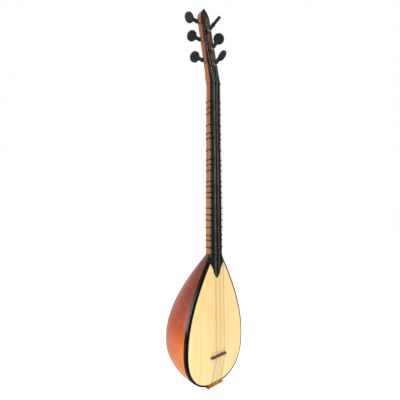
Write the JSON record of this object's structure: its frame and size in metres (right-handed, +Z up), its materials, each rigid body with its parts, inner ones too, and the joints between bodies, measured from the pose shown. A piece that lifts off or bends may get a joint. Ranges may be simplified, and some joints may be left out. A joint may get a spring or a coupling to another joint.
{
  "type": "baglama saz",
  "caption": "Short-scale long-necked lute with a carved pear bowl, domed top, tied frets, leaning head and friction pegs.",
  "frame": {"origin": "middle of the tail comb's flat lower face, below the strings' lower ends", "axes": "+Z up along the neck towards the head, -Y towards the strings and the soundboard, +X to the right seen from the front, so the side pegs point to -X"},
  "size_m": [0.164, 0.1635, 0.7929],
  "materials": {
    "bowl_wood": "high-gloss lacquer over a red-brown to orange sunburst",
    "top_wood": "satin-gloss pale spruce with fine upright grain",
    "neck_wood": "satin lacquer",
    "dark_wood": "dark polished hardwood",
    "comb_wood": "oiled light hardwood",
    "inner_wood": "bare wood",
    "black_lacquer": "black high-gloss lacquer",
    "peg_black": "black stained wood, satin",
    "string_steel": "plain and wound steel wire",
    "fret_gut": "red-brown tied gut or nylon line"
  },
  "bodies": {
    "instrument": {"bowl": "bowl_wood", "tail_block": "inner_wood", "rim_band_left": "black_lacquer", "rim_band_right": "black_lacquer", "soundboard_brace": "inner_wood", "soundboard": "top_wood", "shoulder_plate": "black_lacquer", "edge_binding_left": "black_lacquer", "edge_binding_right": "black_lacquer", "neck": "neck_wood", "fingerboard": "black_lacquer", "nut": "dark_wood", "bridge": "dark_wood", "tail_comb": "comb_wood", "headstock": "neck_wood", "head_faceplate": "dark_wood", "string_1": "string_steel", "string_2": "string_steel", "string_3": "string_steel", "string_4": "string_steel", "string_5": "string_steel", "string_6": "string_steel"},
    "side_peg_1": {"side_peg_1": "peg_black", "side_peg_winding_1": "string_steel"},
    "side_peg_2": {"side_peg_2": "peg_black", "side_peg_winding_2": "string_steel"},
    "side_peg_3": {"side_peg_3": "peg_black", "side_peg_winding_3": "string_steel"},
    "front_peg_1": {"front_peg_1": "peg_black", "front_peg_winding_1": "string_steel"},
    "front_peg_2": {"front_peg_2": "peg_black", "front_peg_winding_2": "string_steel"},
    "front_peg_3": {"front_peg_3": "peg_black", "front_peg_winding_3": "string_steel"},
    "fret_1": {"fret_1": "fret_gut"},
    "fret_2": {"fret_2": "fret_gut"},
    "fret_3": {"fret_3": "fret_gut"},
    "fret_4": {"fret_4": "fret_gut"},
    "fret_5": {"fret_5": "fret_gut"},
    "fret_6": {"fret_6": "fret_gut"},
    "fret_7": {"fret_7": "fret_gut"},
    "fret_8": {"fret_8": "fret_gut"},
    "fret_9": {"fret_9": "fret_gut"},
    "fret_10": {"fret_10": "fret_gut"},
    "fret_11": {"fret_11": "fret_gut"},
    "fret_12": {"fret_12": "fret_gut"},
    "fret_13": {"fret_13": "fret_gut"},
    "fret_14": {"fret_14": "fret_gut"},
    "fret_15": {"fret_15": "fret_gut"},
    "fret_16": {"fret_16": "fret_gut"},
    "fret_17": {"fret_17": "fret_gut"},
    "fret_18": {"fret_18": "fret_gut"},
    "fret_19": {"fret_19": "fret_gut"},
    "fret_20": {"fret_20": "fret_gut"},
    "fret_21": {"fret_21": "fret_gut"}
  },
  "joints": [
    {"name": "side_peg_1_turn", "type": "hinge", "parent": "instrument", "child": "side_peg_1", "pos_m": [0, 0.00748, 0.67195], "axis": [-1, 0, 0], "continuous": true},
    {"name": "side_peg_2_turn", "type": "hinge", "parent": "instrument", "child": "side_peg_2", "pos_m": [0, 0.01645, 0.71809], "axis": [-1, 0, 0], "continuous": true},
    {"name": "side_peg_3_turn", "type": "hinge", "parent": "instrument", "child": "side_peg_3", "pos_m": [0, 0.02447, 0.75931], "axis": [-1, 0, 0], "continuous": true},
    {"name": "front_peg_1_turn", "type": "hinge", "parent": "instrument", "child": "front_peg_1", "pos_m": [0, -0.00296, 0.66328], "axis": [0, -0.891, 0.454], "continuous": true},
    {"name": "front_peg_2_turn", "type": "hinge", "parent": "instrument", "child": "front_peg_2", "pos_m": [0, 0.00343, 0.69617], "axis": [0, -0.7986, 0.6018], "continuous": true},
    {"name": "front_peg_3_turn", "type": "hinge", "parent": "instrument", "child": "front_peg_3", "pos_m": [0, 0.01192, 0.73985], "axis": [0, -0.891, 0.454], "continuous": true},
    {"name": "fret_1_slide", "type": "slide", "parent": "instrument", "child": "fret_1", "axis": [0, 0, 1], "range_m": [-0.003, 0.003]},
    {"name": "fret_2_slide", "type": "slide", "parent": "instrument", "child": "fret_2", "axis": [0, 0, 1], "range_m": [-0.003, 0.003]},
    {"name": "fret_3_slide", "type": "slide", "parent": "instrument", "child": "fret_3", "axis": [0, 0, 1], "range_m": [-0.003, 0.003]},
    {"name": "fret_4_slide", "type": "slide", "parent": "instrument", "child": "fret_4", "axis": [0, 0, 1], "range_m": [-0.003, 0.003]},
    {"name": "fret_5_slide", "type": "slide", "parent": "instrument", "child": "fret_5", "axis": [0, 0, 1], "range_m": [-0.003, 0.003]},
    {"name": "fret_6_slide", "type": "slide", "parent": "instrument", "child": "fret_6", "axis": [0, 0, 1], "range_m": [-0.003, 0.003]},
    {"name": "fret_7_slide", "type": "slide", "parent": "instrument", "child": "fret_7", "axis": [0, 0, 1], "range_m": [-0.003, 0.003]},
    {"name": "fret_8_slide", "type": "slide", "parent": "instrument", "child": "fret_8", "axis": [0, 0, 1], "range_m": [-0.003, 0.003]},
    {"name": "fret_9_slide", "type": "slide", "parent": "instrument", "child": "fret_9", "axis": [0, 0, 1], "range_m": [-0.003, 0.003]},
    {"name": "fret_10_slide", "type": "slide", "parent": "instrument", "child": "fret_10", "axis": [0, 0, 1], "range_m": [-0.003, 0.003]},
    {"name": "fret_11_slide", "type": "slide", "parent": "instrument", "child": "fret_11", "axis": [0, 0, 1], "range_m": [-0.003, 0.003]},
    {"name": "fret_12_slide", "type": "slide", "parent": "instrument", "child": "fret_12", "axis": [0, 0, 1], "range_m": [-0.003, 0.003]},
    {"name": "fret_13_slide", "type": "slide", "parent": "instrument", "child": "fret_13", "axis": [0, 0, 1], "range_m": [-0.003, 0.003]},
    {"name": "fret_14_slide", "type": "slide", "parent": "instrument", "child": "fret_14", "axis": [0, 0, 1], "range_m": [-0.003, 0.003]},
    {"name": "fret_15_slide", "type": "slide", "parent": "instrument", "child": "fret_15", "axis": [0, 0, 1], "range_m": [-0.003, 0.003]},
    {"name": "fret_16_slide", "type": "slide", "parent": "instrument", "child": "fret_16", "axis": [0, 0, 1], "range_m": [-0.003, 0.003]},
    {"name": "fret_17_slide", "type": "slide", "parent": "instrument", "child": "fret_17", "axis": [0, 0, 1], "range_m": [-0.003, 0.003]},
    {"name": "fret_18_slide", "type": "slide", "parent": "instrument", "child": "fret_18", "axis": [0, 0, 1], "range_m": [-0.003, 0.003]},
    {"name": "fret_19_slide", "type": "slide", "parent": "instrument", "child": "fret_19", "axis": [0, 0, 1], "range_m": [-0.003, 0.003]},
    {"name": "fret_20_slide", "type": "slide", "parent": "instrument", "child": "fret_20", "axis": [0, 0, 1], "range_m": [-0.003, 0.003]},
    {"name": "fret_21_slide", "type": "slide", "parent": "instrument", "child": "fret_21", "axis": [0, 0, 1], "range_m": [-0.003, 0.003]}
  ]
}
